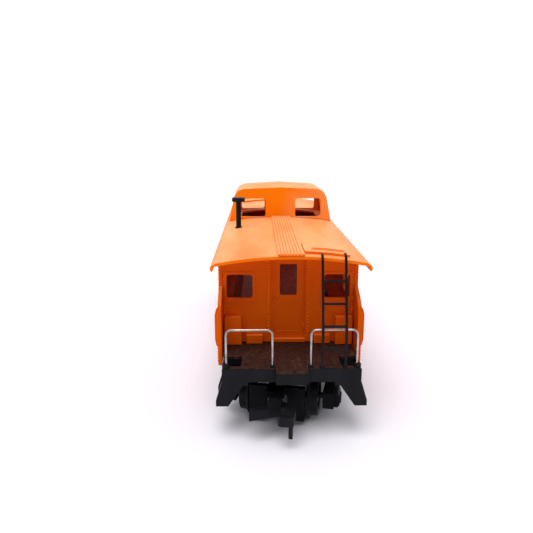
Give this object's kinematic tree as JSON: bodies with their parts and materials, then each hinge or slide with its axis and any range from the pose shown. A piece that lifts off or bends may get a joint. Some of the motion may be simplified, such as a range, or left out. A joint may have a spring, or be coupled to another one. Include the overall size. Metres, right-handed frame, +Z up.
{
  "type": "model caboose",
  "caption": "Small-scale railway caboose with an offset cupola, open end platforms, wire railings, roof ladders, swivelling trucks and hook couplers.",
  "frame": {"origin": "on the floor under the middle of the car: the bottom centre of its box", "axes": "+Y along the car, away from the end with the ladder at +X that faces -Y; +X across the car; +Z up"},
  "size_m": [0.038, 0.1515, 0.0537],
  "materials": {
    "orange_shell": "satin moulded plastic, slightly see-through, with a fine matt bloom on top",
    "black_plastic": "satin black moulded plastic",
    "black_wheels": "smooth black moulded plastic",
    "brown_deck": "matt brown with a fine grain and pale specks",
    "bright_wire": "plated steel wire",
    "steel": "plain steel",
    "blackened_steel": "blackened steel",
    "clear_glazing": "clear styrene sheet"
  },
  "bodies": {
    "car": {"body_shell": "orange_shell", "roof": "orange_shell", "cupola": "orange_shell", "roof_walk_front": "orange_shell", "roof_walk_rear": "orange_shell", "landing_board_front": "orange_shell", "landing_board_rear": "orange_shell", "smoke_stack": "black_plastic", "underframe": "black_plastic", "ballast_weight": "steel", "glazing_left": "clear_glazing", "glazing_right": "clear_glazing", "end_glazing_front": "clear_glazing", "end_glazing_rear": "clear_glazing", "deck_plate_front": "brown_deck", "deck_plate_rear": "brown_deck", "railing_front_a": "bright_wire", "railing_front_b": "bright_wire", "railing_rear_a": "bright_wire", "railing_rear_b": "bright_wire", "ladder_front": "black_plastic", "ladder_rear": "black_plastic", "truck_screw_front": "steel", "truck_screw_rear": "steel"},
    "truck_front": {"truck_frame_front": "black_plastic", "coupler_cover_front": "black_plastic"},
    "coupler_front": {"coupler_front": "black_plastic"},
    "wheelset_front_outer": {"axle_front_outer": "blackened_steel", "wheel_front_outer_a": "black_wheels", "wheel_front_outer_b": "black_wheels"},
    "wheelset_front_inner": {"axle_front_inner": "blackened_steel", "wheel_front_inner_a": "black_wheels", "wheel_front_inner_b": "black_wheels"},
    "truck_rear": {"truck_frame_rear": "black_plastic", "coupler_cover_rear": "black_plastic"},
    "coupler_rear": {"coupler_rear": "black_plastic"},
    "wheelset_rear_outer": {"axle_rear_outer": "blackened_steel", "wheel_rear_outer_a": "black_wheels", "wheel_rear_outer_b": "black_wheels"},
    "wheelset_rear_inner": {"axle_rear_inner": "blackened_steel", "wheel_rear_inner_a": "black_wheels", "wheel_rear_inner_b": "black_wheels"}
  },
  "joints": [
    {"name": "truck_front_swivel", "type": "hinge", "parent": "car", "child": "truck_front", "pos_m": [0, -0.0485, 0.0095], "axis": [0, 0, 1], "range_deg": [-2, 26]},
    {"name": "coupler_front_swing", "type": "hinge", "parent": "truck_front", "child": "coupler_front", "pos_m": [-0.00343, -0.06464, 0.0072], "axis": [0, 0, 1], "range_deg": [-8, 8], "stiffness_Nm_per_rad": 0.0002},
    {"name": "wheelset_front_outer_spin", "type": "hinge", "parent": "truck_front", "child": "wheelset_front_outer", "pos_m": [-0.00202, -0.05799, 0.0062], "axis": [0.9781, -0.2079, 0], "continuous": true},
    {"name": "wheelset_front_inner_spin", "type": "hinge", "parent": "truck_front", "child": "wheelset_front_inner", "pos_m": [0.00202, -0.03901, 0.0062], "axis": [0.9781, -0.2079, 0], "continuous": true},
    {"name": "truck_rear_swivel", "type": "hinge", "parent": "car", "child": "truck_rear", "pos_m": [0, 0.0485, 0.0095], "axis": [0, 0, 1], "range_deg": [-14, 14]},
    {"name": "coupler_rear_swing", "type": "hinge", "parent": "truck_rear", "child": "coupler_rear", "pos_m": [0, 0.065, 0.0072], "axis": [0, 0, 1], "range_deg": [-8, 8], "stiffness_Nm_per_rad": 0.0002},
    {"name": "wheelset_rear_outer_spin", "type": "hinge", "parent": "truck_rear", "child": "wheelset_rear_outer", "pos_m": [0, 0.0582, 0.0062], "axis": [1, 0, 0], "continuous": true},
    {"name": "wheelset_rear_inner_spin", "type": "hinge", "parent": "truck_rear", "child": "wheelset_rear_inner", "pos_m": [0, 0.0388, 0.0062], "axis": [1, 0, 0], "continuous": true}
  ]
}
